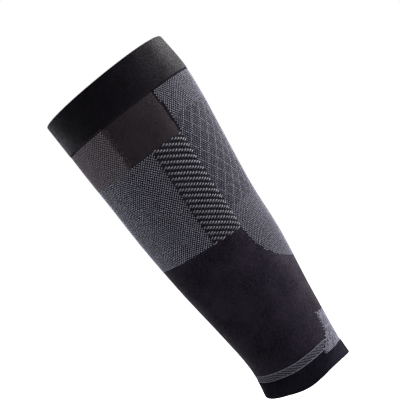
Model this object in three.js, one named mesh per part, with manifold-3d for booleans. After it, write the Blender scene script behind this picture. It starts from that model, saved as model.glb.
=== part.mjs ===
// A knitted compression sleeve for the calf, in the form it has when worn.
// Millimetres, +Z up the leg, the shin towards -Y and the calf towards +Y.
// The origin is on the leg's axis at the calf's fullest section.
// The real sleeve is one seamless knit: each zone of it is a wall here, a hair's gap from the next.

import * as THREE from "three";
import { mergeVertices } from "three/addons/utils/BufferGeometryUtils.js";
import ManifoldModule from "manifold-3d";

// Outer form of the leg in the sleeve, a row for each section.
// shin and calf are the front and back lines, side the half width, widest where that width lies.
const LEG_SECTIONS = [
  { height: -273, shin: -42.5, calf: 42.0, side: 34.5, widest: 4.0 },
  { height: -255, shin: -40.0, calf: 42.0, side: 34.0, widest: 5.0 },
  { height: -235, shin: -40.0, calf: 44.0, side: 34.5, widest: 6.0 },
  { height: -200, shin: -44.0, calf: 47.5, side: 37.0, widest: 6.5 },
  { height: -150, shin: -50.5, calf: 53.5, side: 42.5, widest: 7.0 },
  { height: -100, shin: -55.0, calf: 55.5, side: 48.5, widest: 6.0 },
  { height: -50, shin: -57.5, calf: 61.0, side: 53.5, widest: 7.5 },
  { height: -15, shin: -59.5, calf: 65.0, side: 56.0, widest: 9.0 },
  { height: 10, shin: -60.5, calf: 66.0, side: 56.5, widest: 9.0 },
  { height: 40, shin: -62.0, calf: 62.5, side: 55.5, widest: 6.5 },
];

// Heights of the lines between the zones, measured along the knit's rows at the leg's axis
const TOP_EDGE = 40;
const CUFF_SEAM = 7;
const VENT_FOOT = -33.5;
const SHIN_FOOT = -124.5;
const CALF_FOOT = -174.5;
const HEEL_TOP = -223;
const HEEL_FLARE = -238;
const BAND_TOP = -249.5;
const BAND_FOOT = -256.5;
const HEEL_FOOT = -261;
const HEM = -273;

// Angles of the lines between the zones, in degrees from the shin towards either side
const VENT_SIDE = 50;
const SHIN_SIDE = 70.5;
const CALF_SIDE = 98.5;
const BACK = 180;
const HEEL_HALF = 52.5;
const HEEL_FLARED_HALF = 75;

// The rows of the knit tilt: up towards the calf at the top edge, down towards the heel at the hem.
const TOP_TILT = 0.08;
const HEM_TILT = -0.15;

// The rows above the ankle bone ride up either side of the leg, most of all at the hem.
const ANKLE_RISE = 5.5;
const ANKLE_RISE_ANGLE = 117;
const ANKLE_RISE_SPREAD = 65;
const ANKLE_RISE_TOP = -210;
const ANKLE_RISE_FULL = -250;

// Walls, as offsets from the outer form: plain knit, mesh, ribs and the double cuffs
const PLAIN_WALL = { inner: -1.2, outer: 0 };
const MESH_WALL = { inner: -1.2, outer: 0.2 };
const RIB_WALL = { inner: -1.2, outer: -0.1 };
const CUFF_WALL = { inner: -1.7, outer: 0.5 };
const SEAM_GAP = 0.3;

// Slanting ribs between shin and calf
const RIB_PITCH = 5.3;
const RIB_FALL = 19.3;
const RIB_RAISE = 0.9;
const RIB_ROWS = 3;
const RIB_COLUMNS = 4;
const TRIM_DEPTH = 4;

// The scalloped foot of the calf panel is a squared-off ellipse of this exponent.
const SCALLOP_EXPONENT = 2.4;

// Facets round a whole ring, and round the folded edge of a cuff
const RING_STEPS = 48;
const FOLD_STEPS = 4;

const BLACK_KNIT = { color: 0x1b191b, roughness: 0.9 };
const CHARCOAL_MESH = { color: 0x3a3637, roughness: 0.9 };
const SLATE_MESH = { color: 0x4b4c55, roughness: 0.88 };
const GREY_MESH = { color: 0x6c6c75, roughness: 0.86 };

const lerp = THREE.MathUtils.lerp;
const clamp = THREE.MathUtils.clamp;
const HALF_GAP = SEAM_GAP / 2;
const GAP_ANGLE = THREE.MathUtils.radToDeg(HALF_GAP / LEG_SECTIONS[0].side);

// One column of the section table at a height, on a smooth curve through the rows
function sectionValue(column, height) {
  const rows = LEG_SECTIONS;
  const last = rows.length - 1;
  const slope = (i) => {
    const below = rows[Math.max(i - 1, 0)];
    const above = rows[Math.min(i + 1, last)];
    return (above[column] - below[column]) / (above.height - below.height);
  };
  let i = 0;
  while (i < last - 1 && rows[i + 1].height < height) i += 1;
  const span = rows[i + 1].height - rows[i].height;
  const t = clamp((height - rows[i].height) / span, 0, 1);
  const start = (1 + 2 * t) * (1 - t) ** 2 * rows[i][column] + t * (1 - t) ** 2 * span * slope(i);
  const end = t ** 2 * (3 - 2 * t) * rows[i + 1][column] + t ** 2 * (t - 1) * span * slope(i + 1);
  return start + end;
}

// How far a row of the knit rides up beside the ankle
function ankleRise(angle, height) {
  const fromShin = Math.abs(THREE.MathUtils.euclideanModulo(angle + BACK, 2 * BACK) - BACK);
  const across = clamp((fromShin - ANKLE_RISE_ANGLE) / ANKLE_RISE_SPREAD, -1, 1);
  const bump = 0.5 + 0.5 * Math.cos(Math.PI * across);
  return ANKLE_RISE * bump * THREE.MathUtils.smoothstep(-height, -ANKLE_RISE_TOP, -ANKLE_RISE_FULL);
}

// A point of the knit: its angle from the shin, the height of its row, and its offset from the outer form
function onLeg({ angle, height }, offset) {
  const turn = THREE.MathUtils.degToRad(angle);
  const widest = sectionValue("widest", height);
  const toFront = widest - sectionValue("shin", height);
  const toBack = sectionValue("calf", height) - widest;
  const depth = (Math.cos(turn) > 0 ? toFront : toBack) + offset;
  const x = (sectionValue("side", height) + offset) * Math.sin(turn);
  const y = widest - depth * Math.cos(turn);
  const tilt = lerp(HEM_TILT, TOP_TILT, (height - HEM) / (TOP_EDGE - HEM));
  return new THREE.Vector3(x, y, height + tilt * y + ankleRise(angle, height));
}

// Half the angle of the panel over the heel cord at a height: straight sides, then a flare to its foot
function heelHalfAngle(height) {
  const t = clamp((HEEL_FLARE - height) / (HEEL_FLARE - BAND_FOOT), 0, 1);
  return lerp(HEEL_HALF, HEEL_FLARED_HALF, t ** 2);
}

// A point of the scallop under the calf panel. turn runs from 0 at its front end to 180 at the other.
function scallopPoint(turn, grow) {
  const power = 2 / SCALLOP_EXPONENT;
  const radians = THREE.MathUtils.degToRad(turn);
  const across = Math.sign(Math.cos(radians)) * Math.abs(Math.cos(radians)) ** power;
  const halfAngle = BACK - CALF_SIDE + Math.sign(grow) * GAP_ANGLE;
  const height = SHIN_FOOT - (SHIN_FOOT - CALF_FOOT + grow) * Math.sin(radians) ** power;
  return { angle: BACK - halfAngle * across, height };
}

// An edge along one row of the knit
function rowEdge(from, to, height) {
  return (u) => ({ angle: lerp(from, to, u), height });
}

// An edge right round the leg. half(s) is one side of it, from the shin at 0 to the back at 1.
function ringEdge(half) {
  return (u) => {
    const side = u < 0.5 ? -1 : 1;
    const point = half(Math.abs(2 * u - 1));
    return { angle: side * point.angle, height: point.height };
  };
}

// A zone of the knit between a lower and an upper edge
function between(lower, upper) {
  return (u, v) => {
    const a = lower(u);
    const b = upper(u);
    return { angle: lerp(a.angle, b.angle, v), height: lerp(a.height, b.height, v) };
  };
}

// A zone between two rows and two angles, drawn in by half a seam gap all round
function patch(from, to, foot, top) {
  const start = from + GAP_ANGLE;
  const end = to - GAP_ANGLE;
  return between(rowEdge(start, end, foot + HALF_GAP), rowEdge(start, end, top - HALF_GAP));
}

function closedGeometry(geometry) {
  geometry.deleteAttribute("normal");
  geometry.deleteAttribute("uv");
  return mergeVertices(geometry);
}

// A wall over a zone that doesn't close round the leg: a box bent onto it. raise adds to the outer face.
function panelWall(zone, wall, columns, rows, raise = () => 0) {
  const geometry = new THREE.BoxGeometry(1, 1, 1, columns, rows, 1);
  const position = geometry.attributes.position;
  for (let i = 0; i < position.count; i += 1) {
    const u = position.getX(i) + 0.5;
    const v = position.getY(i) + 0.5;
    const outside = position.getZ(i) > 0;
    const offset = outside ? wall.outer + raise(v) : wall.inner;
    position.setXYZ(i, ...onLeg(zone(u, v), offset).toArray());
  }
  return closedGeometry(geometry);
}

// A wall right round the leg: a closed profile of offset (x) and share of the zone's height (y), turned
function ringWall(zone, profile) {
  const geometry = new THREE.LatheGeometry(profile, RING_STEPS);
  const position = geometry.attributes.position;
  const uv = geometry.attributes.uv;
  for (let i = 0; i < position.count; i += 1) {
    const u = uv.getX(i) % 1;
    const corner = profile[Math.round(uv.getY(i) * (profile.length - 1))];
    position.setXYZ(i, ...onLeg(zone(u, corner.y), corner.x).toArray());
  }
  return closedGeometry(geometry);
}

// Profile of a plain ring wall with square edges
function plainProfile(wall, rows) {
  const outerFace = [];
  const innerFace = [];
  for (let row = 0; row <= rows; row += 1) {
    outerFace.push(new THREE.Vector2(wall.outer, row / rows));
    innerFace.unshift(new THREE.Vector2(wall.inner, row / rows));
  }
  return [...outerFace, ...innerFace, outerFace[0].clone()];
}

// Profile of a cuff whose edge is turned over in a round fold, at the top or at the foot.
// fold is the fold's radius as a share of the cuff's height.
function foldedProfile(wall, rows, fold, foldAtTop) {
  const middle = (wall.inner + wall.outer) / 2;
  const radius = (wall.outer - wall.inner) / 2;
  const corners = [];
  for (let row = 0; row < rows; row += 1) {
    corners.push(new THREE.Vector2(wall.outer, (row / rows) * (1 - fold)));
  }
  for (let step = 0; step <= FOLD_STEPS; step += 1) {
    const turn = (Math.PI * step) / FOLD_STEPS;
    corners.push(new THREE.Vector2(middle + radius * Math.cos(turn), 1 - fold + fold * Math.sin(turn)));
  }
  for (let row = rows - 1; row >= 0; row -= 1) {
    corners.push(new THREE.Vector2(wall.inner, (row / rows) * (1 - fold)));
  }
  if (!foldAtTop) {
    corners.forEach((corner) => corner.setY(1 - corner.y));
    corners.reverse();
  }
  return [...corners, corners[0].clone()];
}

const wasm = await ManifoldModule();
wasm.setup();

function toSolid(geometry) {
  const vertProperties = new Float32Array(geometry.attributes.position.array);
  const triVerts = new Uint32Array(geometry.index.array);
  return new wasm.Manifold(new wasm.Mesh({ numProp: 3, vertProperties, triVerts }));
}

function toGeometry(solid) {
  const mesh = solid.getMesh();
  const geometry = new THREE.BufferGeometry();
  geometry.setAttribute("position", new THREE.BufferAttribute(mesh.vertProperties, 3));
  geometry.setIndex(new THREE.BufferAttribute(mesh.triVerts, 1));
  return geometry;
}

const sleeve = new THREE.Group();

function addPiece(name, geometry, look) {
  const mesh = new THREE.Mesh(geometry, new THREE.MeshStandardMaterial({ ...look, metalness: 0 }));
  mesh.name = name;
  sleeve.add(mesh);
}

// Top cuff: a double welt with its fold at the top
function topCuff() {
  const foot = CUFF_SEAM + HALF_GAP;
  const zone = between(rowEdge(-BACK, BACK, foot), rowEdge(-BACK, BACK, TOP_EDGE));
  const fold = (CUFF_WALL.outer - CUFF_WALL.inner) / 2 / (TOP_EDGE - foot);
  return ringWall(zone, foldedProfile(CUFF_WALL, 3, fold, true));
}

// Bottom cuff: a turned hem under the ankle band, cut down at the back for the foot of the heel panel
function bottomCuff() {
  const stepAngle = BACK - HEEL_FLARED_HALF - GAP_ANGLE;
  const stepStart = 0.55;
  const stepEnd = stepStart + 2 / RING_STEPS;
  const top = ringEdge((s) => {
    if (s <= stepStart) return { angle: stepAngle * (s / stepStart), height: BAND_FOOT - HALF_GAP };
    const back = clamp((s - stepEnd) / (1 - stepEnd), 0, 1);
    return { angle: lerp(stepAngle, BACK, back), height: HEEL_FOOT - HALF_GAP };
  });
  const foot = ringEdge((s) => ({ angle: s * BACK, height: HEM }));
  const fold = (CUFF_WALL.outer - CUFF_WALL.inner) / 2 / (BAND_FOOT - HEM);
  return ringWall(between(foot, top), foldedProfile(CUFF_WALL, 2, fold, false));
}

// Calf panel: from the cuff's seam down to the scallop
function calfPanel() {
  const start = CALF_SIDE + GAP_ANGLE;
  const top = rowEdge(start, 2 * BACK - start, CUFF_SEAM - HALF_GAP);
  const foot = (u) => scallopPoint(u * BACK, -HALF_GAP);
  return panelWall(between(foot, top), MESH_WALL, 24, 9);
}

// Lower leg: from the foot of the shin and calf panels down to the ankle band and round the heel panel
function lowerLeg() {
  const frontShare = 0.5;
  const heelShare = 0.75;
  const top = ringEdge((s) => {
    if (s < frontShare) return { angle: CALF_SIDE * (s / frontShare), height: SHIN_FOOT - HALF_GAP };
    const scallop = scallopPoint((90 * (s - frontShare)) / (1 - frontShare), HALF_GAP);
    return { angle: scallop.angle, height: Math.min(scallop.height, SHIN_FOOT - HALF_GAP) };
  });
  const foot = ringEdge((s) => {
    const height = BAND_TOP + HALF_GAP;
    const bandEnd = BACK - heelHalfAngle(height) - GAP_ANGLE;
    if (s < frontShare) return { angle: bandEnd * (s / frontShare), height };
    const heelTop = HEEL_TOP + HALF_GAP;
    const up = clamp((s - frontShare) / (heelShare - frontShare), 0, 1);
    const side = lerp(height, heelTop, up);
    const across = clamp((s - heelShare) / (1 - heelShare), 0, 1);
    return { angle: lerp(BACK - heelHalfAngle(side) - GAP_ANGLE, BACK, across), height: side };
  });
  return ringWall(between(foot, top), plainProfile(PLAIN_WALL, 7));
}

// Ankle band: round the front, its ends against the heel panel
function ankleBand() {
  const zone = (u, v) => {
    const height = lerp(BAND_FOOT + HALF_GAP, BAND_TOP - HALF_GAP, v);
    const end = BACK - heelHalfAngle(height) - GAP_ANGLE;
    return { angle: lerp(-end, end, u), height };
  };
  return panelWall(zone, MESH_WALL, 32, 2);
}

// Heel panel: up the heel cord, flared at its foot
function achillesPanel() {
  const zone = (u, v) => {
    const height = lerp(HEEL_FOOT + HALF_GAP, HEEL_TOP - HALF_GAP, v);
    const half = heelHalfAngle(height) - GAP_ANGLE;
    return { angle: lerp(BACK - half, BACK + half, u), height };
  };
  return panelWall(zone, MESH_WALL, 16, 8);
}

// Rib panel: a sheet whose rows follow the slanting ribs, trimmed to the panel's outline
function ribPanel(side) {
  const from = side * (side > 0 ? SHIN_SIDE : CALF_SIDE);
  const to = side * (side > 0 ? CALF_SIDE : SHIN_SIDE);
  const ribCount = Math.ceil((VENT_FOOT - SHIN_FOOT + RIB_FALL) / RIB_PITCH) + 2;
  const length = ribCount * RIB_PITCH;
  const top = VENT_FOOT + RIB_FALL + RIB_PITCH;
  const zone = (u, v) => {
    const fromShin = side > 0 ? u : 1 - u;
    return { angle: lerp(from - 1, to + 1, u), height: top - (1 - v) * length - RIB_FALL * fromShin };
  };
  const raise = (v) => RIB_RAISE * Math.sin(Math.PI * v * ribCount) ** 2;
  const sheet = panelWall(zone, RIB_WALL, RIB_COLUMNS, ribCount * RIB_ROWS, raise);
  const trimWall = { inner: -TRIM_DEPTH, outer: TRIM_DEPTH };
  const trim = panelWall(patch(from, to, SHIN_FOOT, VENT_FOOT), trimWall, RIB_COLUMNS, 9);
  return toGeometry(toSolid(sheet).intersect(toSolid(trim)));
}

// Flat patches of mesh over the shin, under the cuff and below it
const ventZone = patch(-VENT_SIDE, VENT_SIDE, VENT_FOOT, CUFF_SEAM);
const shinZone = patch(-SHIN_SIDE, SHIN_SIDE, SHIN_FOOT, VENT_FOOT);

addPiece("top_cuff", topCuff(), BLACK_KNIT);
addPiece("vent_panel", panelWall(ventZone, MESH_WALL, 14, 3), CHARCOAL_MESH);
addPiece("shin_panel", panelWall(shinZone, MESH_WALL, 18, 6), SLATE_MESH);
addPiece("calf_panel", calfPanel(), GREY_MESH);
addPiece("lower_leg", lowerLeg(), BLACK_KNIT);
addPiece("ankle_band", ankleBand(), SLATE_MESH);
addPiece("achilles_panel", achillesPanel(), GREY_MESH);
addPiece("bottom_cuff", bottomCuff(), BLACK_KNIT);

// The pieces that come in pairs, on the wearer's left (+X) and right
for (const [name, side] of [["left", 1], ["right", -1]]) {
  const from = side > 0 ? VENT_SIDE : -CALF_SIDE;
  const to = side > 0 ? CALF_SIDE : -VENT_SIDE;
  const plainSide = panelWall(patch(from, to, VENT_FOOT, CUFF_SEAM), PLAIN_WALL, 7, 3);
  addPiece(`upper_side_${name}`, plainSide, BLACK_KNIT);
  addPiece(`rib_panel_${name}`, ribPanel(side), SLATE_MESH);
}

export default sleeve;
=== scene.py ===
# A knitted calf sleeve in its worn form: the looks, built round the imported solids.
import math

import bpy
import numpy as np
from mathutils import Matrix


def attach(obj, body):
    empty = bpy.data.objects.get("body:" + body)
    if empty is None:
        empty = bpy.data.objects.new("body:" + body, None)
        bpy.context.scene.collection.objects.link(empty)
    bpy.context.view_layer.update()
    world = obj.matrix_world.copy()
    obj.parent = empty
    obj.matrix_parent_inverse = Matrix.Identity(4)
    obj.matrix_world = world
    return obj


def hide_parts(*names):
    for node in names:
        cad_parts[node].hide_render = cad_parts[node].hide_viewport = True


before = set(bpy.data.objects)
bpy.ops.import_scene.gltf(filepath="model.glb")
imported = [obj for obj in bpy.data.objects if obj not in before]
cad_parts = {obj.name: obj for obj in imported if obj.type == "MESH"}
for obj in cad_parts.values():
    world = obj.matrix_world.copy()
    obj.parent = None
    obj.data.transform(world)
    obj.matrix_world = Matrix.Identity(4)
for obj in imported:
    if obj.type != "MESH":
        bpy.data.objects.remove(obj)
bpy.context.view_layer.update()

# Lengths below are in millimetres, as on the drawing of the leg, and MM turns them into Blender's metres.
MM = 0.001

# Outer form of the leg at each height: front line, back line, half width and place of the widest line
LEG_COLUMNS = ("height", "shin", "calf", "side", "widest")
LEG_SECTIONS = (
    (-273, -42.5, 42.0, 34.5, 4.0),
    (-255, -40.0, 42.0, 34.0, 5.0),
    (-235, -40.0, 44.0, 34.5, 6.0),
    (-200, -44.0, 47.5, 37.0, 6.5),
    (-150, -50.5, 53.5, 42.5, 7.0),
    (-100, -55.0, 55.5, 48.5, 6.0),
    (-50, -57.5, 61.0, 53.5, 7.5),
    (-15, -59.5, 65.0, 56.0, 9.0),
    (10, -60.5, 66.0, 56.5, 9.0),
    (40, -62.0, 62.5, 55.5, 6.5),
)

# Heights of the lines between the zones, along the knit's courses at the leg's axis
TOP_EDGE = 40
CUFF_SEAM = 7
VENT_FOOT = -33.5
SHIN_FOOT = -124.5
CALF_FOOT = -174.5
HEEL_TOP = -223
HEEL_FLARE = -238
BAND_TOP = -249.5
BAND_FOOT = -256.5
HEEL_FOOT = -260.5
HEM = -273

# The wearer's left is +X.
SIDES = {"left": 1, "right": -1}

# Angles of the lines between the zones, in degrees from the shin towards either side
VENT_SIDE = 50
SHIN_SIDE = 70.5
CALF_SIDE = 98.5
CALF_TOP_SIDE = 93
BACK = 180
HEEL_HALF = 55
HEEL_FLARED_HALF = 77

# Courses tilt up to the calf at the top edge and down to the heel at the hem, and ride up by the ankle.
TOP_TILT = 0.08
HEM_TILT = -0.15
ANKLE_RISE = 4.5
ANKLE_RISE_ANGLE = 117
ANKLE_RISE_SPREAD = 65
ANKLE_RISE_TOP = -210
ANKLE_RISE_FULL = -250

# The knit: stitches round the leg (wales) and the height of one row of them (a course)
WALES_ROUND = 312
WALE = 2 * BACK / WALES_ROUND
COURSE = 1.35

# Walls, as offsets from the outer form
PLAIN_WALL = (-1.2, 0.0)
MESH_WALL = (-1.2, 0.05)
CUFF_WALL = (-1.7, 0.5)
CUFF_LIP = 0.4
STITCH_LIFT = 0.06
INSIDE_TOLERANCE = 0.01
SHARP_ANGLE = 50

# Rows and columns of each wall's mesh, and steps round a cuff's fold and lip
RING_COLUMNS = 240
CELLS = {
    "top_cuff": (14, RING_COLUMNS),
    "bottom_cuff": (8, RING_COLUMNS),
    "lower_leg": (50, RING_COLUMNS),
    "upper_side": (16, 32),
    "vent_panel": (16, 66),
    "shin_panel": (36, 94),
    "rib_panel": (140, 38),
    "calf_panel": (70, 110),
    "ankle_band": (4, 150),
    "achilles_panel": (20, 90),
}
FOLD_STEPS = 8
LIP_STEPS = 3

# Slanting ribs, on wide wales of their own: they fall one course in a wale, once in four courses.
RIB_WALES = 15
RIB_WALE = (CALF_SIDE - SHIN_SIDE) / RIB_WALES
RIB_COURSE = 1.327
RIB_COURSES = 4
RIB_RAISE = 0.9
RIB_EDGE_FADE = 1.0
RIB_LEAN = 70

# Calf lattice: lines of lighter dots, one course up or down in a wale, once in ten courses
LATTICE_COURSES = 10
LATTICE_TOP = -20
LATTICE_FOOT = -106

# Heel mesh: a chequer of dark flecks three wales by two courses, with some left out, and teeth on its sides
HEEL_FLECK_WALES = 3
HEEL_FLECK_COURSES = 2
HEEL_FLECK_SHARE = 0.65
HEEL_TEETH = 3 * WALE

# Ankle band: slanting lines of two stitches in every five, two wales on in each course, between two rows of
# yarn along the edges
BAND_WALE = 1.35
BAND_COURSE = 0.9
BAND_WALES = 5
BAND_STITCHES = 2
BAND_STEP = 2
BAND_LEAN = -66
BAND_EDGE_LEAN = 90

# The vent panel fades into the plain knit beside it, over this angle on either side of its edge.
VENT_FADE = 4.5

# The calf panel's foot is a superellipse.
SCALLOP_EXPONENT = 2.4

# The hem's free edge sags a little on either side of the leg. The heel panel's top and foot close in at the
# back.
HEM_SAG = 1.5
HEM_SAG_ANGLE = 68
HEM_SAG_SPREAD = 34
HEEL_TOP_DIP = 4
HEEL_FOOT_RISE = 1.5

# How much the worn knit is stretched from its slack size, round the leg and along it
STRETCH_ROUND = 1.25
STRETCH_ALONG = 1.04
SLACK_COLUMNS = 60
SLACK_ROWS = 30


# The leg's form

def lerp(a, b, t):
    return a + (b - a) * t


def smoothstep(value, low, high):
    t = np.clip((value - low) / (high - low), 0, 1)
    return t * t * (3 - 2 * t)


def bump(t):
    """1 at 0, falling smoothly to 0 at 1 and -1."""
    return 0.5 + 0.5 * np.cos(np.pi * np.clip(t, -1, 1))


def section_value(column, height):
    """One column of the leg's table at each height, on a smooth curve through the rows."""
    rows = np.array(LEG_SECTIONS, float)
    heights = rows[:, 0]
    values = rows[:, LEG_COLUMNS.index(column)]
    below = np.maximum(np.arange(len(rows)) - 1, 0)
    above = np.minimum(np.arange(len(rows)) + 1, len(rows) - 1)
    slopes = (values[above] - values[below]) / (heights[above] - heights[below])
    i = np.clip(np.searchsorted(heights, height) - 1, 0, len(rows) - 2)
    span = heights[i + 1] - heights[i]
    t = np.clip((height - heights[i]) / span, 0, 1)
    start = (1 + 2 * t) * (1 - t) ** 2 * values[i] + t * (1 - t) ** 2 * span * slopes[i]
    end = t * t * (3 - 2 * t) * values[i + 1] + t * t * (t - 1) * span * slopes[i + 1]
    return start + end


def from_shin(angle):
    """Angle from the shin, 0 to 180, on whichever side of the leg."""
    return np.abs((angle + BACK) % (2 * BACK) - BACK)


def on_leg(angle, height, offset=0.0):
    """Points of the knit in metres, from angle, height of the course and offset from the outer form."""
    turn = np.radians(angle)
    widest = section_value("widest", height)
    to_front = widest - section_value("shin", height)
    to_back = section_value("calf", height) - widest
    depth = np.where(np.cos(turn) > 0, to_front, to_back) + offset
    x = (section_value("side", height) + offset) * np.sin(turn)
    y = widest - depth * np.cos(turn)
    tilt = lerp(HEM_TILT, TOP_TILT, (height - HEM) / (TOP_EDGE - HEM))
    rise = ANKLE_RISE * bump((from_shin(angle) - ANKLE_RISE_ANGLE) / ANKLE_RISE_SPREAD)
    rise = rise * smoothstep(-height, -ANKLE_RISE_TOP, -ANKLE_RISE_FULL)
    return np.stack([x, y, height + tilt * y + rise], -1) * MM


# Outlines of the zones

def calf_side(height):
    """Angle of the calf panel's front edge, which curves forward towards the top."""
    share = np.clip((height - SHIN_FOOT) / (CUFF_SEAM - SHIN_FOOT), 0, 1)
    return lerp(CALF_SIDE, CALF_TOP_SIDE, share * share)


def heel_half_angle(height):
    t = np.clip((HEEL_FLARE - height) / (HEEL_FLARE - BAND_FOOT), 0, 1)
    return lerp(HEEL_HALF, HEEL_FLARED_HALF, t * t)


def scallop_point(turn):
    """Angle and height on the calf panel's foot. turn runs from 0 at its front end to 180 at the other."""
    power = 2 / SCALLOP_EXPONENT
    radians = np.radians(turn)
    across = np.sign(np.cos(radians)) * np.abs(np.cos(radians)) ** power
    height = SHIN_FOOT - (SHIN_FOOT - CALF_FOOT) * np.abs(np.sin(radians)) ** power
    return BACK - (BACK - CALF_SIDE) * across, height


def scallop_height(angle):
    across = np.clip((BACK - from_shin(angle)) / (BACK - CALF_SIDE), 0, 1)
    drop = (1 - across ** SCALLOP_EXPONENT) ** (1 / SCALLOP_EXPONENT)
    return SHIN_FOOT - (SHIN_FOOT - CALF_FOOT) * drop


def patch(start, end, foot, top):
    """A zone between two angles and two courses."""
    return lambda u, v: (lerp(start, end, u), lerp(foot, top, v))


def side_patch(side, start, foot, top):
    """A zone on one side of the leg, from an angle to the calf panel's front edge, between two courses."""
    def place(u, v):
        height = lerp(foot, top, v)
        share = u if side > 0 else 1 - u
        return side * lerp(start, calf_side(height), share), height
    return place


def ring(lower_half, upper_half):
    """A zone right round the leg. Each half edge runs from the shin at 0 to the back at 1."""
    def place(u, v):
        share = np.abs(2 * u - 1)
        side = np.where(u < 0.5, -1, 1)
        low_angle, low_height = lower_half(share)
        high_angle, high_height = upper_half(share)
        return side * lerp(low_angle, high_angle, v), lerp(low_height, high_height, v)
    return place


def course_half(height):
    return lambda share: (share * BACK, np.full_like(share, height))


def hem_edge(share):
    angle = share * BACK
    return angle, HEM - HEM_SAG * bump((angle - HEM_SAG_ANGLE) / HEM_SAG_SPREAD)


def heel_top(angle):
    """Height of the heel panel's top, lowest at the back."""
    return HEEL_TOP - HEEL_TOP_DIP * (1 - np.clip((BACK - from_shin(angle)) / HEEL_HALF, 0, 1) ** 2)


def heel_foot(angle):
    """Height of the heel panel's foot, highest at the back."""
    return HEEL_FOOT + HEEL_FOOT_RISE * (1 - np.clip((BACK - from_shin(angle)) / HEEL_FLARED_HALF, 0, 1))


def calf_place(u, v):
    foot_angle, foot_height = scallop_point(u * BACK)
    top_angle = lerp(CALF_TOP_SIDE, 2 * BACK - CALF_TOP_SIDE, u)
    return lerp(foot_angle, top_angle, v * v), lerp(foot_height, CUFF_SEAM, v)


def lower_leg_top(share):
    """Half of it runs along the shin and rib panels' foot, and half along the calf panel's."""
    front = share < 0.5
    angle, height = scallop_point(np.clip(2 * share - 1, 0, 1) * BACK / 2)
    return np.where(front, 2 * share * CALF_SIDE, angle), np.where(front, SHIN_FOOT, height)


def lower_leg_foot(share):
    """It runs along the band's top, then up the heel panel's side, and then along its top."""
    band_end = 0.5
    side_end = 0.75
    up = np.clip((share - band_end) / (side_end - band_end), 0, 1)
    height = lerp(BAND_TOP, HEEL_TOP, up)
    side = BACK - heel_half_angle(height)
    front = np.clip(share / band_end, 0, 1) * side
    back = lerp(side, BACK, np.clip((share - side_end) / (1 - side_end), 0, 1))
    height = np.where(share < side_end, height, heel_top(back))
    return np.where(share < band_end, front, back), height


def bottom_cuff_top(share):
    """It runs along the band's foot, steps down, and then runs along the heel panel's foot."""
    step = 0.55
    step_angle = BACK - HEEL_FLARED_HALF
    front = share <= step
    back_angle = lerp(step_angle, BACK, (share - step) / (1 - step))
    angle = np.where(front, step_angle * share / step, back_angle)
    return angle, np.where(front, BAND_FOOT, heel_foot(angle))


def band_place(u, v):
    height = lerp(BAND_FOOT, BAND_TOP, v)
    end = BACK - heel_half_angle(height)
    return lerp(-end, end, u), height


def heel_place(u, v):
    half = heel_half_angle(lerp(HEEL_FOOT, HEEL_TOP, v))
    angle = lerp(BACK - half, BACK + half, u)
    return angle, lerp(heel_foot(angle), heel_top(angle), v)


def rib_offset(angle, height):
    """How far the ribs stand out, fading to nothing at the edges of their panel.

    Their crests run through the middles of the stitches that rib_crest marks."""
    wale = from_shin(angle) / RIB_WALE
    phase = (height / RIB_COURSE + wale - 1) / RIB_COURSES
    crest = 0.5 + 0.5 * np.cos(2 * np.pi * phase)
    from_side = np.minimum(wale - SHIN_SIDE / RIB_WALE, calf_side(height) / RIB_WALE - wale)
    from_end = np.minimum(VENT_FOOT - height, height - SHIN_FOOT) / RIB_COURSE
    fade = smoothstep(np.minimum(from_side, from_end), 0, RIB_EDGE_FADE)
    return RIB_RAISE * crest * fade


# Meshes of the knitted walls

def square_profile(wall, rows):
    """Closed loop of a wall with square edges, up the outside first: shares of the height, and offsets."""
    up = np.linspace(0, 1, rows + 1)
    inner, outer = wall
    return np.concatenate([up, up[::-1]]), np.repeat([outer, inner], rows + 1)


def folded_profile(wall, rows, height, fold_at_top):
    """Closed loop of a cuff: a round fold at its free edge, and a rolled lip at its seam."""
    inner, outer = wall
    radius = (outer - inner) / 2
    middle = (outer + inner) / 2
    turn = np.linspace(0, np.pi, FOLD_STEPS + 1)
    lip_turn = np.linspace(-np.pi / 2, 0, LIP_STEPS + 1)
    walls = np.linspace(CUFF_LIP, height - radius, rows)
    share = np.concatenate([
        CUFF_LIP + CUFF_LIP * np.sin(lip_turn),
        walls[1:-1],
        height - radius + radius * np.sin(turn),
        walls[1:-1][::-1],
        [0.0],
    ]) / height
    offset = np.concatenate([
        outer - CUFF_LIP + CUFF_LIP * np.cos(lip_turn),
        np.full(rows - 2, outer),
        middle + radius * np.cos(turn),
        np.full(rows - 1, inner),
    ])
    if not fold_at_top:
        share = (1 - share)[::-1]
        offset = offset[::-1]
    return share, offset


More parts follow.
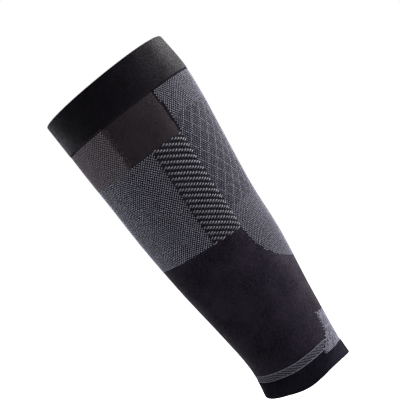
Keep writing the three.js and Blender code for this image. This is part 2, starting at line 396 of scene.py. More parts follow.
def knit_wall(name, place, profile, columns, closed, raise_by=None):
    """A closed wall over a zone. Its UV map, knit, counts wales round the leg and courses up it.

    Its faces towards the leg have 1 in the attribute inside, and the others have 0."""
    share, offset = profile
    loops = len(share)
    u, v = np.meshgrid(np.linspace(0, 1, columns + 1), share)
    angle, height = place(u, v)
    angle = np.broadcast_to(angle, u.shape)
    height = np.broadcast_to(height, u.shape)
    stand = np.repeat(offset[:, None], columns + 1, axis=1)
    if raise_by:
        outside = offset[:, None] >= offset.max()
        stand = stand + np.where(outside, raise_by(angle, height), 0)
    points = on_leg(angle, height, stand)
    stride = columns if closed else columns + 1
    quads = []
    for row in range(loops):
        above = (row + 1) % loops
        for column in range(columns):
            quads.append(((row, column), (row, column + 1), (above, column + 1), (above, column)))
    if not closed:
        for row in range(loops // 2 - 1):
            low, high = loops - 1 - row, loops - 2 - row
            quads.append(((row, 0), (row + 1, 0), (high, 0), (low, 0)))
            quads.append(((low, columns), (high, columns), (row + 1, columns), (row, columns)))
    faces = [[row * stride + column % stride for row, column in quad] for quad in quads]
    mesh = bpy.data.meshes.new(name)
    mesh.from_pydata(points[:, :stride].reshape(-1, 3).tolist(), [], faces)
    row, column = np.array(quads).reshape(-1, 2).T
    knit = mesh.uv_layers.new(name="knit")
    wale = angle[row, column] / WALE
    course = height[row, column] / COURSE
    knit.data.foreach_set("uv", np.stack([wale, course], -1).astype(np.float32).ravel())
    innermost = (offset[row] <= offset.min() + INSIDE_TOLERANCE).reshape(-1, 4).all(1)
    inside = mesh.attributes.new("inside", "FLOAT", "FACE")
    inside.data.foreach_set("value", innermost.astype(np.float32))
    mesh.shade_smooth()
    mesh.set_sharp_from_angle(angle=math.radians(SHARP_ANGLE))
    wall = bpy.data.objects.new(name, mesh)
    bpy.context.scene.collection.objects.link(wall)
    return wall


def square_wall(node, place, wall, cells, closed=False, raise_by=None):
    """The knit wall of a zone with square edges, named for the node that it stands for."""
    rows, columns = cells
    return knit_wall(f"knit_{node}", place, square_profile(wall, rows), columns, closed, raise_by)


# Node trees

class Graph:
    """Adds nodes to a tree. A value in inputs that is a socket is linked, and any other is set."""

    def __init__(self, tree):
        self.tree = tree

    def feed(self, socket, value):
        if isinstance(value, bpy.types.NodeSocket):
            self.tree.links.new(value, socket)
        else:
            socket.default_value = value

    def node(self, kind, inputs=None, **settings):
        node = self.tree.nodes.new(kind)
        for key, value in settings.items():
            setattr(node, key, value)
        for key, value in (inputs or {}).items():
            self.feed(node.inputs[key], value)
        return node

    def math(self, operation, *values):
        return self.node("ShaderNodeMath", dict(enumerate(values)), operation=operation).outputs[0]

    def noise(self, place, scale, detail):
        inputs = {"Vector": place, "Scale": scale, "Detail": detail}
        return self.node("ShaderNodeTexNoise", inputs).outputs[0]

    def random(self, low, high, seed):
        """A number between low and high for each point or instance."""
        node = self.node("FunctionNodeRandomValue", {"Seed": seed}, data_type="FLOAT")
        limits = [socket for socket in node.inputs if socket.type == "VALUE" and socket.enabled]
        for socket, value in zip(limits, (low, high)):
            self.feed(socket, value)
        return next(socket for socket in node.outputs if socket.enabled)


def stitch_tree():
    """Sews a V of two yarn legs on every point, turned to its facing and up, and sized to its cell."""
    tree = bpy.data.node_groups.new("sew_stitches", "GeometryNodeTree")
    graph = Graph(tree)
    sockets = (
        ("Stitches", "NodeSocketGeometry", None),
        ("Leg length", "NodeSocketFloat", 0.58),
        ("Leg width", "NodeSocketFloat", 0.2),
        ("Leg depth", "NodeSocketFloat", 0.14),
        ("Leg spacing", "NodeSocketFloat", 0.23),
        ("Leg tilt", "NodeSocketFloat", 0.3),
        ("Uneven size", "NodeSocketFloat", 0.08),
        ("Uneven turn", "NodeSocketFloat", 0.1),
        ("Seed", "NodeSocketInt", 5),
        ("Yarn", "NodeSocketMaterial", None),
    )
    for name, kind, value in sockets:
        socket = tree.interface.new_socket(name, in_out="INPUT", socket_type=kind)
        if value is not None:
            socket.default_value = value
    tree.interface.new_socket("Stitches", in_out="OUTPUT", socket_type="NodeSocketGeometry")
    given = graph.node("NodeGroupInput").outputs

    bead = graph.node("GeometryNodeMeshUVSphere", {"Segments": 4, "Rings": 3, "Radius": 1.0})
    leg_size = {"X": given["Leg width"], "Y": given["Leg length"], "Z": given["Leg depth"]}
    scale = graph.node("ShaderNodeCombineXYZ", leg_size)
    legs = graph.node("GeometryNodeJoinGeometry")
    for side in (-1, 1):
        shift = graph.node("ShaderNodeCombineXYZ", {"X": graph.math("MULTIPLY", given["Leg spacing"], side)})
        turn = graph.node("ShaderNodeCombineXYZ", {"Z": graph.math("MULTIPLY", given["Leg tilt"], -side)})
        leg = graph.node("GeometryNodeTransform", {
            "Geometry": bead.outputs["Mesh"],
            "Translation": shift.outputs[0],
            "Rotation": turn.outputs[0],
            "Scale": scale.outputs[0],
        })
        tree.links.new(leg.outputs[0], legs.inputs[0])

    facing, up, cell = (
        graph.node("GeometryNodeInputNamedAttribute", {"Name": name}, data_type="FLOAT_VECTOR").outputs[0]
        for name in ("facing", "up", "cell")
    )
    seat = graph.node("FunctionNodeAxesToRotation", {0: facing, 1: up}, primary_axis="Z", secondary_axis="Y")
    lean = graph.node("GeometryNodeInputNamedAttribute", {"Name": "lean"}, data_type="FLOAT").outputs[0]
    least = graph.math("SUBTRACT", lean, given["Uneven turn"])
    most = graph.math("ADD", lean, given["Uneven turn"])
    turn = graph.node("ShaderNodeCombineXYZ", {"Z": graph.random(least, most, given["Seed"])})
    turn = graph.node("FunctionNodeEulerToRotation", {0: turn.outputs[0]})
    turned = graph.node("FunctionNodeRotateRotation", {
        "Rotation": seat.outputs[0],
        "Rotate By": turn.outputs[0],
    }, rotation_space="LOCAL")
    smallest = graph.math("SUBTRACT", 1, given["Uneven size"])
    largest = graph.math("ADD", 1, given["Uneven size"])
    size = graph.random(smallest, largest, graph.math("ADD", given["Seed"], 1))
    sized = graph.node("ShaderNodeVectorMath", {0: cell, "Scale": size}, operation="SCALE")
    sewn = graph.node("GeometryNodeInstanceOnPoints", {
        "Points": given["Stitches"],
        "Instance": legs.outputs[0],
        "Rotation": turned.outputs[0],
        "Scale": sized.outputs[0],
    })
    shaded = graph.node("GeometryNodeStoreNamedAttribute", {
        "Geometry": sewn.outputs[0],
        "Name": "shade",
        "Value": graph.random(0, 1, graph.math("ADD", given["Seed"], 2)),
    }, data_type="FLOAT", domain="INSTANCE")
    solid = graph.node("GeometryNodeRealizeInstances", {"Geometry": shaded.outputs[0]})
    smooth = graph.node("GeometryNodeSetShadeSmooth", {"Geometry": solid.outputs[0]})
    yarn = graph.node("GeometryNodeSetMaterial", {"Geometry": smooth.outputs[0], "Material": given["Yarn"]})
    result = graph.node("NodeGroupOutput")
    tree.links.new(yarn.outputs[0], result.inputs[0])
    return tree


def run_nodes(piece, tree, values):
    """Runs a tree on a piece and keeps the result as its plain mesh."""
    modifier = piece.modifiers.new(tree.name, "NODES")
    modifier.node_group = tree
    for item in tree.interface.items_tree:
        if item.item_type == "SOCKET" and item.in_out == "INPUT" and item.name in values:
            modifier[item.identifier] = values[item.name]
    depsgraph = bpy.context.evaluated_depsgraph_get()
    mesh = bpy.data.meshes.new_from_object(piece.evaluated_get(depsgraph), depsgraph=depsgraph)
    mesh.name = piece.name
    piece.modifiers.remove(modifier)
    piece.data = mesh


def sew(name, inside, chart, yarn, tree, grid=(WALE, COURSE), side=0, lean=0, raise_by=None, **sizes):
    """Yarn stitches on every cell of a grid that lies in a zone and that the chart marks.

    side 1 or -1 keeps them to one side of the leg. They lean towards the calf by lean degrees."""
    turn, climb = grid
    half_round = round(BACK / turn)
    rows = np.arange(math.floor(HEM / climb), math.ceil(TOP_EDGE / climb))
    wale, course = (index.ravel() for index in np.meshgrid(np.arange(-half_round, half_round), rows))
    angle = (wale + 0.5) * turn
    height = (course + 0.5) * climb
    column = np.floor(from_shin(angle) / turn).astype(int)
    kept = inside(from_shin(angle), height) & chart(column, course, height) & (angle * side >= 0)
    angle, height = angle[kept], height[kept]

    def at(across, up):
        where = (angle + across * turn, height + up * climb)
        stand = raise_by(*where) if raise_by else 0.0
        return on_leg(*where, stand + STITCH_LIFT)

    across = at(0.5, 0) - at(-0.5, 0)
    up = at(0, 0.5) - at(0, -0.5)
    facing = np.cross(across, up)
    facing /= np.linalg.norm(facing, axis=1)[:, None]
    wide = np.linalg.norm(across, axis=1)
    tall = np.linalg.norm(up, axis=1)
    cell = np.stack([wide, tall, (wide + tall) / 2], -1)
    mesh = bpy.data.meshes.new(name)
    mesh.from_pydata(at(0, 0).tolist(), [], [])
    for key, vectors in (("facing", facing), ("up", up), ("cell", cell)):
        layer = mesh.attributes.new(key, "FLOAT_VECTOR", "POINT")
        layer.data.foreach_set("vector", vectors.astype(np.float32).ravel())
    layer = mesh.attributes.new("lean", "FLOAT", "POINT")
    layer.data.foreach_set("value", (-math.radians(lean) * np.sign(angle)).astype(np.float32))
    stitches = bpy.data.objects.new(name, mesh)
    bpy.context.scene.collection.objects.link(stitches)
    run_nodes(stitches, tree, {"Yarn": yarn, **sizes})
    return stitches


# Finishes

# Knits: how far a stitch's legs climb, in courses, what stitch, cloud and speck add to the shade, and how far
# the shade takes the roughness down
LEG_CLIMB = 0.5
SHADE_START = -0.9
# What the stitch adds is painted shade in its grooves and painted highlight on its legs; cloud and speck are
# the yarn's own uneven tone.
STITCH_PAINTED_SHADE = 0.4
CLOUD_SHADE = 0.9
SPECK_SHADE = 1.7
CLOUD_SCALE = 50.0
SPECK_SCALE = 1000.0
KNIT_BUMP = 0.8
KNIT_TINT = (1.0, 0.88, 1.0)
KNIT_ROUGHNESS = 0.75
ROUGHNESS_SPREAD = 0.5

# Yarns: the ends of the shades' range that the two colours take
STREAK_SCALE = 1500.0
YARN_DARK = 0.15
YARN_LIGHT = 0.85
YARN_ROUGHNESS = 0.5

WHITE = (1, 1, 1, 1)

# The floor's grey and its own light
FLOOR_DARK = (0.94, 0.94, 0.94)
FLOOR_LIGHT = (0.97, 0.97, 0.97)
FLOOR_GRAIN_SCALE = 4.0
FLOOR_ROUGHNESS = 0.9
FLOOR_GLOW = 0.15


def new_material(name):
    material = bpy.data.materials.new(name)
    material.use_nodes = True
    graph = Graph(material.node_tree)
    shader = material.node_tree.nodes["Principled BSDF"]
    return material, graph, shader


def set_ramp(ramp, low, high):
    for element, (position, colour) in zip(ramp.color_ramp.elements, (low, high)):
        element.position = position
        element.color = (*colour, 1)


def set_sheen(shader, sheen):
    weight, roughness, colour = sheen
    shader.inputs["Sheen Weight"].default_value = weight
    shader.inputs["Sheen Roughness"].default_value = roughness
    shader.inputs["Sheen Tint"].default_value = (*colour, 1)


def knit_finish(name, valley, crest, sheen, gloss, relief, fine):
    """Plain knit: V stitches in relief on the piece's own wales and courses, with uneven yarn, and painted
    shade in the stitches' grooves and painted highlight on their legs.
    """
    material, graph, shader = new_material(name)
    knit = graph.node("ShaderNodeUVMap", uv_map="knit")
    cell = graph.node("ShaderNodeSeparateXYZ", {0: knit.outputs[0]})
    wale = graph.math("MULTIPLY", cell.outputs[0], fine)
    course = graph.math("MULTIPLY", cell.outputs[1], fine)
    from_middle = graph.math("ABSOLUTE", graph.math("MULTIPLY_ADD", graph.math("FRACT", wale), 2.0, -1.0))
    slant = graph.math("MULTIPLY_ADD", from_middle, -LEG_CLIMB, course)
    wave = graph.math("COSINE", graph.math("MULTIPLY", slant, 2 * math.pi))
    rows = graph.math("MULTIPLY_ADD", wave, 0.5, 0.5)
    legs = graph.math("SINE", graph.math("MULTIPLY", from_middle, math.pi))
    stitch = graph.math("MULTIPLY", rows, legs)
    place = graph.node("ShaderNodeTexCoord").outputs["Object"]
    cloud = graph.noise(place, CLOUD_SCALE, detail=3.0)
    speck = graph.noise(place, SPECK_SCALE, detail=1.0)
    # The stitch term darkens the grooves and lightens the legs in the colour: painted shade and highlight.
    shade = graph.math("MULTIPLY_ADD", stitch, STITCH_PAINTED_SHADE, SHADE_START)
    shade = graph.math("MULTIPLY_ADD", cloud, CLOUD_SHADE, shade)
    shade = graph.math("MULTIPLY_ADD", speck, SPECK_SHADE, shade)
    outer = graph.node("ShaderNodeValToRGB", {"Fac": shade})
    set_ramp(outer, (0, valley), (1, crest))
    # The inner ramp paints light into the shaded inside: faces towards the leg take lighter float-yarn
    # colours.
    inner = graph.node("ShaderNodeValToRGB", {"Fac": shade})
    set_ramp(inner, (0, INSIDE_FLOAT_PAINTED_LIGHT_VALLEY), (1, INSIDE_FLOAT_PAINTED_LIGHT_CREST))
    inside = graph.node("ShaderNodeAttribute", attribute_name="inside").outputs["Fac"]
    either = graph.node("ShaderNodeMixRGB", {"Fac": inside, 1: outer.outputs[0], 2: inner.outputs[0]})
    raised = graph.node("ShaderNodeBump", {"Height": stitch, "Strength": KNIT_BUMP, "Distance": relief * MM})
    graph.tree.links.new(either.outputs[0], shader.inputs["Base Color"])
    graph.tree.links.new(raised.outputs[0], shader.inputs["Normal"])
    shader.inputs["Specular IOR Level"].default_value = gloss
    shader.inputs["Specular Tint"].default_value = (*KNIT_TINT, 1)
    rough = graph.math("MULTIPLY_ADD", shade, -ROUGHNESS_SPREAD, KNIT_ROUGHNESS + ROUGHNESS_SPREAD / 2)
    graph.tree.links.new(rough, shader.inputs["Roughness"])
    set_sheen(shader, sheen)
    return material


def yarn_finish(name, dark, light, sheen, gloss, uneven=0.35):
    """Stitches of filament yarn, uneven from one to the next by a share, with fine streaks and a gloss."""
    material, graph, shader = new_material(name)
    own = graph.node("ShaderNodeAttribute", attribute_name="shade").outputs["Fac"]
    place = graph.node("ShaderNodeTexCoord").outputs["Object"]
    streak = graph.noise(place, STREAK_SCALE, detail=2.0)
    shade = graph.math("MULTIPLY_ADD", own, uneven, graph.math("MULTIPLY", streak, 1 - uneven))
    ramp = graph.node("ShaderNodeValToRGB", {"Fac": shade})
    set_ramp(ramp, (YARN_DARK, dark), (YARN_LIGHT, light))
    graph.tree.links.new(ramp.outputs[0], shader.inputs["Base Color"])
    shader.inputs["Roughness"].default_value = YARN_ROUGHNESS
    shader.inputs["Specular IOR Level"].default_value = gloss
    set_sheen(shader, sheen)
    return material


def floor_finish():
    """White light table, lit enough from below that it has no edge against the white tent."""
    material, graph, shader = new_material("pale_floor")
    place = graph.node("ShaderNodeTexCoord").outputs["Object"]
    grain = graph.noise(place, FLOOR_GRAIN_SCALE, detail=2.0)
    ramp = graph.node("ShaderNodeValToRGB", {"Fac": grain})
    set_ramp(ramp, (0, FLOOR_DARK), (1, FLOOR_LIGHT))
    graph.tree.links.new(ramp.outputs[0], shader.inputs["Base Color"])
    shader.inputs["Roughness"].default_value = FLOOR_ROUGHNESS
    shader.inputs["Emission Color"].default_value = WHITE
    shader.inputs["Emission Strength"].default_value = FLOOR_GLOW
    return material


# Sheen of the knits and yarns: weight, roughness and colour
CUFF_SHEEN = (0.014, 0.35, (0.95, 0.87, 1.0))
HEM_SHEEN = (0.02, 0.3, (0.9, 0.87, 1.0))
KNIT_SHEEN = (0.05, 0.18, (0.9, 0.87, 1.0))
MESH_SHEEN = (0.01, 0.3, (0.87, 0.88, 1.0))
SHIN_SHEEN = (1.0, 0.37, (0.87, 0.88, 1.0))
DULL_SHEEN = (0.006, 0.3, (1.0, 0.93, 1.0))

# Float yarns on the side towards the leg, much lighter than the outer knit: painted light in the sleeve's
# shaded inside
INSIDE_FLOAT_PAINTED_LIGHT_VALLEY = (0.012, 0.0115, 0.0135)
INSIDE_FLOAT_PAINTED_LIGHT_CREST = (0.075, 0.072, 0.084)

KNITS = {
    "cuff_black": dict(
        valley=(0.0001, 0.0001, 0.00013), crest=(0.0024, 0.0021, 0.0033),
        sheen=CUFF_SHEEN, gloss=0.031, relief=0.02, fine=2.0,
    ),
    "hem_black": dict(
        valley=(0.0004, 0.0004, 0.0007), crest=(0.0056, 0.0052, 0.0078),
        sheen=HEM_SHEEN, gloss=0.001, relief=0.04, fine=2.0,
    ),
    "leg_black": dict(
        valley=(0.0004, 0.0003, 0.0005), crest=(0.0092, 0.0075, 0.0115),
        sheen=KNIT_SHEEN, gloss=0.009, relief=0.08, fine=1.6,
    ),
    "side_black": dict(
        valley=(0.0006, 0.0004, 0.0005), crest=(0.006, 0.0041, 0.0055),
        sheen=DULL_SHEEN, gloss=0.11, relief=0.05, fine=1.6,
    ),
    "mesh_ground": dict(
        valley=(0.001, 0.001, 0.0013), crest=(0.007, 0.007, 0.009),
        sheen=MESH_SHEEN, gloss=0.01, relief=0.15, fine=1.0,
    ),
    "rib_ground": dict(
        valley=(0.0018, 0.0018, 0.0023), crest=(0.0105, 0.0105, 0.0132),
        sheen=MESH_SHEEN, gloss=0.01, relief=0.15, fine=1.0,
    ),
    "vent_ground": dict(
        valley=(0.007, 0.0063, 0.0071), crest=(0.022, 0.0197, 0.0224),
        sheen=DULL_SHEEN, gloss=0.01, relief=0.1, fine=1.0,
    ),
    "band_ground": dict(
        valley=(0.0045, 0.0045, 0.0056), crest=(0.018, 0.0176, 0.0223),
        sheen=DULL_SHEEN, gloss=0.01, relief=0.1, fine=1.0,
    ),
}

YARNS = {
    # Near-black yarn: the calf panel's dark edge, and painted shadow under the top cuff's lip.
    "dark_edge_and_shadow_yarn": dict(
        dark=(0.001, 0.001, 0.0012), light=(0.004, 0.0038, 0.0046), sheen=DULL_SHEEN, gloss=0.01,
    ),
    "charcoal_yarn": dict(
        dark=(0.085, 0.0765, 0.0865), light=(0.135, 0.121, 0.137), sheen=DULL_SHEEN, gloss=0.02, uneven=0.1,
    ),
    "dim_yarn": dict(
        dark=(0.026, 0.0222, 0.0263), light=(0.042, 0.0359, 0.0427), sheen=DULL_SHEEN, gloss=0.02,
    ),
    "slate_yarn": dict(
        dark=(0.09, 0.09, 0.112), light=(0.14, 0.14, 0.175), sheen=SHIN_SHEEN, gloss=0.02, uneven=0.1,
    ),
    "rib_yarn": dict(
        dark=(0.032, 0.032, 0.04), light=(0.053, 0.053, 0.066), sheen=DULL_SHEEN, gloss=0.25,
    ),
    "grey_yarn": dict(
        dark=(0.085, 0.085, 0.105), light=(0.135, 0.135, 0.166), sheen=MESH_SHEEN, gloss=0.02, uneven=0.1,
    ),
    "shadow_yarn": dict(
        dark=(0.045, 0.045, 0.056), light=(0.08, 0.08, 0.1), sheen=MESH_SHEEN, gloss=0.02, uneven=0.1,
    ),
    "falling_yarn": dict(
        dark=(0.09, 0.09, 0.11), light=(0.13, 0.13, 0.16), sheen=MESH_SHEEN, gloss=0.02,
    ),
    "rising_yarn": dict(
        dark=(0.11, 0.11, 0.135), light=(0.15, 0.15, 0.185), sheen=MESH_SHEEN, gloss=0.02,
    ),
    "band_yarn": dict(
        dark=(0.075, 0.075, 0.094), light=(0.115, 0.115, 0.144), sheen=DULL_SHEEN, gloss=0.03,
    ),
    "band_edge_yarn": dict(
        dark=(0.08, 0.08, 0.1), light=(0.14, 0.14, 0.175), sheen=DULL_SHEEN, gloss=0.03,
    ),
    "fleck_yarn": dict(
        dark=(0.03, 0.03, 0.0375), light=(0.058, 0.058, 0.0725), sheen=DULL_SHEEN, gloss=0.02,
    ),
    "heel_yarn": dict(
        dark=(0.088, 0.088, 0.11), light=(0.137, 0.137, 0.171), sheen=DULL_SHEEN, gloss=0.02,
    ),
}

# Forms of the stitches, as shares of their cell, and how uneven the evenest are in size and in turn
FLOAT_STITCH = {
    "Leg length": 1.55, "Leg width": 0.23, "Leg spacing": 0.1, "Leg tilt": 0.0, "Leg depth": 0.2,
}
LINE_STITCH = {"Leg length": 0.8, "Leg width": 0.12, "Leg spacing": 0.06, "Leg tilt": 0.0}
EDGE_STITCH = {"Leg length": 0.8, "Leg width": 0.14, "Leg spacing": 0.08, "Leg tilt": 0.0}
FULL_STITCH = {"Leg length": 0.65, "Leg width": 0.24}
SHORT_STITCH = {"Leg length": 0.45, "Leg width": 0.26}
EVEN_STITCH = {"Uneven size": 0.02, "Uneven turn": 0.02}


# Camera, light and floor

# The camera's azimuth is in degrees from the shin. It aims at a place sideways and up from the origin.
CAMERA_AZIMUTH = 75
CAMERA_DISTANCE = 640
CAMERA_HEIGHT = -44
CAMERA_AIM = (9.85, -90.5)
CAMERA_ROLL = 34.925
CAMERA_LENS = 66.1
CAMERA_NEAR = 10

# The lights look at the middle of the leg. Their sizes are in metres, width first, and their power in watts.
LEG_MIDDLE = -115
LIGHTS = {
    "back_key": dict(
        azimuth=175, distance=900, height=0, size=(1.3, 1.2), power=83, colour=(1.0, 0.97, 0.98),
    ),
    "front_fill": dict(
        azimuth=-40, distance=900, height=0, size=(1.0, 1.2), power=12, colour=(0.92, 0.92, 1.0),
    ),
}
FLOOR_HALF = 6000
FLOOR_HEIGHT = -600


def round_leg(azimuth, distance, height):
    """A place beside the leg: azimuth in degrees from the shin, distance and height in millimetres."""
    turn = math.radians(azimuth)
    return np.array([distance * math.sin(turn), -distance * math.cos(turn), height]) * MM


def look(at, aim, roll=0.0):
    """The matrix of a camera or a light at one place that looks at another, with its roll in degrees."""
    ahead = (aim - at) / np.linalg.norm(aim - at)
    level = np.cross(ahead, (0, 0, 1))
    level /= np.linalg.norm(level)
    upright = np.cross(level, ahead)
    cosine = math.cos(math.radians(roll))
    sine = math.sin(math.radians(roll))
    placed = np.eye(4)
    placed[:3, 0] = cosine * level - sine * upright
    placed[:3, 1] = sine * level + cosine * upright
    placed[:3, 2] = -ahead
    placed[:3, 3] = at
    return placed.T.tolist()


def add_camera():
    turn = math.radians(CAMERA_AZIMUTH)
    at = round_leg(CAMERA_AZIMUTH, CAMERA_DISTANCE, CAMERA_HEIGHT)
    sideways, upward = CAMERA_AIM
    aim = np.array([math.cos(turn) * sideways, math.sin(turn) * sideways, upward]) * MM
    camera = bpy.data.objects.new("camera", bpy.data.cameras.new("camera"))
    camera.data.lens = CAMERA_LENS
    camera.data.clip_start = CAMERA_NEAR * MM
    camera.matrix_world = look(at, aim, CAMERA_ROLL)
    bpy.context.scene.collection.objects.link(camera)
    bpy.context.scene.camera = camera


def add_light(name, azimuth, distance, height, size, power, colour):
    light = bpy.data.lights.new(name, "AREA")
    light.color = colour
    light.shape = "RECTANGLE"
    light.size, light.size_y = size
    light.energy = power
    lamp = bpy.data.objects.new(name, light)
    lamp.matrix_world = look(round_leg(azimuth, distance, height), np.array([0, 0, LEG_MIDDLE]) * MM)
    bpy.context.scene.collection.objects.link(lamp)


def add_studio():
    world = bpy.data.worlds.new("white_tent")
    world.use_nodes = True
    backdrop = world.node_tree.nodes["Background"]
    backdrop.inputs["Color"].default_value = WHITE
    backdrop.inputs["Strength"].default_value = 1.0
    bpy.context.scene.world = world
    bpy.context.scene.view_settings.view_transform = "Standard"
    for name, values in LIGHTS.items():
        add_light(name, **values)
    corners = ((-1, -1), (1, -1), (1, 1), (-1, 1))
    points = [(x * FLOOR_HALF * MM, y * FLOOR_HALF * MM, FLOOR_HEIGHT * MM) for x, y in corners]
    mesh = bpy.data.meshes.new("floor")
    mesh.from_pydata(points, [], [(0, 1, 2, 3)])
    mesh.materials.append(floor_finish())
    floor = bpy.data.objects.new("floor", mesh)
    bpy.context.scene.collection.objects.link(floor)


# Charts: which stitches of a zone are worked in one yarn

# Turns for each wale and course, and a spread, that leave no order in the numbers of scatter
SCATTER_WALE = 12.9898
SCATTER_COURSE = 78.233
SCATTER_SPREAD = 43758.5453


def scatter(wale, course):
    """A fixed number between 0 and 1 for each stitch, with no order to it."""
    return np.sin(wale * SCATTER_WALE + course * SCATTER_COURSE) * SCATTER_SPREAD % 1


def every_stitch(wale, course, height):
    return np.full(wale.shape, True)


def pin_dot(wale, course, height):
    return (wale + course) % 2 == 0


def rib_crest(wale, course, height):
    return (wale + course) % RIB_COURSES == 0


def in_lattice(height):
    return (height < LATTICE_TOP) & (height > LATTICE_FOOT)


def rising_line(wale, course, height):
    return in_lattice(height) & ((course - wale) % LATTICE_COURSES == 0)


def falling_line(wale, course, height):
    return in_lattice(height) & ((course + wale) % LATTICE_COURSES == 0) & ~rising_line(wale, course, height)


def lattice_ground(wale, course, height):
    line = rising_line(wale, course, height) | falling_line(wale, course, height)
    return in_lattice(height) & pin_dot(wale, course, height) & ~line


def above_lattice(wale, course, height):
    return pin_dot(wale, course, height) & (height >= LATTICE_TOP)


def below_lattice(wale, course, height):
    return pin_dot(wale, course, height) & (height <= LATTICE_FOOT)


def heel_fleck(wale, course, height):
    across, up = wale // HEEL_FLECK_WALES, course // HEEL_FLECK_COURSES
    return ((across + up) % 2 == 0) & (scatter(across, up) < HEEL_FLECK_SHARE)


def heel_ground(wale, course, height):
    return ~heel_fleck(wale, course, height)


def band_edge(wale, course, height):
    return (height < BAND_FOOT + BAND_COURSE) | (height > BAND_TOP - BAND_COURSE)


def band_slant(wale, course, height):
    in_line = (wale + BAND_STEP * course) % BAND_WALES < BAND_STITCHES
    return in_line & ~band_edge(wale, course, height)


def vent_fade(wale):
    """0 on the vent panel, 1 on the plain knit beside it."""
    return smoothstep(wale * WALE, VENT_SIDE - VENT_FADE, VENT_SIDE + VENT_FADE)


def vent_dot(wale, course, height):
    return pin_dot(wale, course, height) & (scatter(wale, course) > 2 * vent_fade(wale))


def vent_dim_dot(wale, course, height):
    """Dots of the dimmer yarn: they take the others' places near the vent panel's sides, then thin out."""
    kept = scatter(wale, course) > 2 * vent_fade(wale) - 1
    return pin_dot(wale, course, height) & kept & ~vent_dot(wale, course, height)


# Zones, by the angle from the shin and the height

# The ring of stitches just below the cuff seam, where near-black yarn paints the shadow under the cuff's lip.
def in_seam_shadow(angle, height):
    return (height > CUFF_SEAM - COURSE) & (height < CUFF_SEAM)


def in_vent(angle, height):
    return (angle < VENT_SIDE + VENT_FADE) & (height > VENT_FOOT) & (height < CUFF_SEAM - COURSE)


def in_shin(angle, height):
    return (angle < SHIN_SIDE) & (height > SHIN_FOOT) & (height < VENT_FOOT)


def in_rib(angle, height):
    return (angle > SHIN_SIDE) & (angle < calf_side(height)) & (height > SHIN_FOOT) & (height < VENT_FOOT)


def calf_inside(height):
    """Angle where the calf panel's light stitches start: its dark edge is one and two wales wide by turns."""
    teeth = np.where(height > VENT_FOOT, 1 + np.floor(height / COURSE) % 2, 0)
    return calf_side(height) + WALE * teeth


def in_calf_edge(angle, height):
    """The dark edge, beside the plain knit."""
    across = (angle > calf_side(height)) & (angle < calf_inside(height))
    return across & (height > VENT_FOOT) & (height < CUFF_SEAM)


def in_calf(angle, height):
    below_cuff = height < CUFF_SEAM - COURSE
    return below_cuff & (angle > calf_inside(height)) & (height > scallop_height(angle) + COURSE / 2)


def in_band(angle, height):
    return (height > BAND_FOOT) & (height < BAND_TOP) & (angle < BACK - heel_half_angle(height))


def in_heel(angle, height):
    tooth = HEEL_TEETH * (np.floor(height / COURSE) % 2)
    beside = angle > BACK - heel_half_angle(height) + tooth
    return beside & (height > heel_foot(angle)) & (height < heel_top(angle))


# The pieces

def slack_cut(place):
    """Width, length and area in metres of a zone's knit when it is slack, from its worn outer face."""
    u, v = np.meshgrid(np.linspace(0, 1, SLACK_COLUMNS + 1), np.linspace(0, 1, SLACK_ROWS + 1))
    points = on_leg(*place(u, v))
    across = np.diff(points, axis=1)
    along = np.diff(points, axis=0)
    width = np.linalg.norm(across, axis=-1).sum(1).max() / STRETCH_ROUND
    length = np.linalg.norm(along, axis=-1).sum(0).max() / STRETCH_ALONG
    cells = np.linalg.norm(np.cross(across[:-1], along[:, :-1]), axis=-1)
    return (width, length), cells.sum() / (STRETCH_ROUND * STRETCH_ALONG)


def finish_wall(wall, node, place, material, stitches=()):
    wall.data.materials.append(material)
    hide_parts(node)
    for piece in (wall, *stitches):
        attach(piece, "root")
    flat, area = slack_cut(place)


def build_cuffs(knits, yarns, tree):
    place = ring(course_half(CUFF_SEAM), course_half(TOP_EDGE))
    rows, columns = CELLS["top_cuff"]
    profile = folded_profile(CUFF_WALL, rows, TOP_EDGE - CUFF_SEAM, fold_at_top=True)
    cuff = knit_wall("knit_top_cuff", place, profile, columns, closed=True)
    # A ring of near-black stitches paints the shadow under the cuff's lip along its seam.
    seam = sew("cuff_seam_shadow", in_seam_shadow, every_stitch, yarns["dark_edge_and_shadow_yarn"], tree, Seed=1, **FULL_STITCH)
    finish_wall(cuff, "top_cuff", place, knits["cuff_black"], [seam])

    place = ring(hem_edge, bottom_cuff_top)
    rows, columns = CELLS["bottom_cuff"]
    profile = folded_profile(CUFF_WALL, rows, BAND_FOOT - HEM, fold_at_top=False)
    hem = knit_wall("knit_bottom_cuff", place, profile, columns, closed=True)
    finish_wall(hem, "bottom_cuff", place, knits["hem_black"])


def build_plain_knit(knits):
    place = ring(lower_leg_foot, lower_leg_top)
    leg = square_wall("lower_leg", place, PLAIN_WALL, CELLS["lower_leg"], closed=True)
    finish_wall(leg, "lower_leg", place, knits["leg_black"])
    for name, side in SIDES.items():
        place = side_patch(side, VENT_SIDE, VENT_FOOT, CUFF_SEAM)
        wall = square_wall(f"upper_side_{name}", place, PLAIN_WALL, CELLS["upper_side"])
        finish_wall(wall, f"upper_side_{name}", place, knits["side_black"])


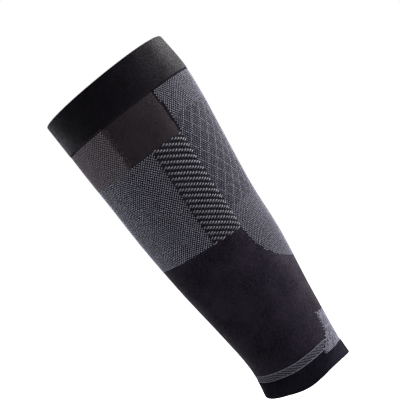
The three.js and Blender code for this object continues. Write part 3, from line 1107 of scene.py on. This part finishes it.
def build_shin(knits, yarns, tree):
    place = patch(-VENT_SIDE, VENT_SIDE, VENT_FOOT, CUFF_SEAM)
    wall = square_wall("vent_panel", place, MESH_WALL, CELLS["vent_panel"])
    stitches = [
        sew("vent_stitches", in_vent, vent_dot, yarns["charcoal_yarn"], tree, Seed=11, **EVEN_STITCH),
        sew("vent_dim_stitches", in_vent, vent_dim_dot, yarns["dim_yarn"], tree, Seed=16, **EVEN_STITCH),
    ]
    finish_wall(wall, "vent_panel", place, knits["vent_ground"], stitches)

    place = patch(-SHIN_SIDE, SHIN_SIDE, SHIN_FOOT, VENT_FOOT)
    wall = square_wall("shin_panel", place, MESH_WALL, CELLS["shin_panel"])
    dots = sew("shin_stitches", in_shin, pin_dot, yarns["slate_yarn"], tree, Seed=21, **EVEN_STITCH)
    finish_wall(wall, "shin_panel", place, knits["mesh_ground"], [dots])


def build_ribs(knits, yarns, tree):
    for name, side in SIDES.items():
        place = side_patch(side, SHIN_SIDE, SHIN_FOOT, VENT_FOOT)
        wall = square_wall(f"rib_panel_{name}", place, PLAIN_WALL, CELLS["rib_panel"], raise_by=rib_offset)
        crests = sew(
            f"rib_stitches_{name}", in_rib, rib_crest, yarns["rib_yarn"], tree, (RIB_WALE, RIB_COURSE),
            side=side, lean=RIB_LEAN, raise_by=rib_offset, Seed=31, **FLOAT_STITCH,
        )
        finish_wall(wall, f"rib_panel_{name}", place, knits["rib_ground"], [crests])


def build_calf(knits, yarns, tree):
    wall = square_wall("calf_panel", calf_place, MESH_WALL, CELLS["calf_panel"])
    stitches = [
        sew("calf_edge", in_calf_edge, every_stitch, yarns["dark_edge_and_shadow_yarn"], tree, Seed=36, **FULL_STITCH),
        sew("calf_rising_lines", in_calf, rising_line, yarns["rising_yarn"], tree, Seed=41, **EVEN_STITCH),
        sew("calf_falling_lines", in_calf, falling_line, yarns["falling_yarn"], tree, Seed=51, **EVEN_STITCH),
        sew("calf_ground", in_calf, lattice_ground, yarns["shadow_yarn"], tree, Seed=61, **EVEN_STITCH),
        sew("calf_top", in_calf, above_lattice, yarns["falling_yarn"], tree, Seed=66, **EVEN_STITCH),
        sew("calf_foot", in_calf, below_lattice, yarns["grey_yarn"], tree, Seed=71, **EVEN_STITCH),
    ]
    finish_wall(wall, "calf_panel", calf_place, knits["mesh_ground"], stitches)


def build_ankle(knits, yarns, tree):
    grid = (BAND_WALE, BAND_COURSE)
    edge, slant = yarns["band_edge_yarn"], yarns["band_yarn"]
    wall = square_wall("ankle_band", band_place, MESH_WALL, CELLS["ankle_band"])
    stitches = [
        sew("band_edges", in_band, band_edge, edge, tree, grid, lean=BAND_EDGE_LEAN, Seed=81, **EDGE_STITCH),
        sew("band_slants", in_band, band_slant, slant, tree, grid, lean=BAND_LEAN, Seed=91, **LINE_STITCH),
    ]
    finish_wall(wall, "ankle_band", band_place, knits["band_ground"], stitches)

    wall = square_wall("achilles_panel", heel_place, MESH_WALL, CELLS["achilles_panel"])
    stitches = [
        sew("achilles_flecks", in_heel, heel_fleck, yarns["fleck_yarn"], tree, Seed=101, **SHORT_STITCH),
        sew("achilles_ground", in_heel, heel_ground, yarns["heel_yarn"], tree, Seed=111, **SHORT_STITCH),
    ]
    finish_wall(wall, "achilles_panel", heel_place, knits["mesh_ground"], stitches)


def build_sleeve():
    knits = {name: knit_finish(name, **values) for name, values in KNITS.items()}
    yarns = {name: yarn_finish(name, **values) for name, values in YARNS.items()}
    tree = stitch_tree()
    build_cuffs(knits, yarns, tree)
    build_plain_knit(knits)
    build_shin(knits, yarns, tree)
    build_ribs(knits, yarns, tree)
    build_calf(knits, yarns, tree)
    build_ankle(knits, yarns, tree)


add_camera()
add_studio()
build_sleeve()
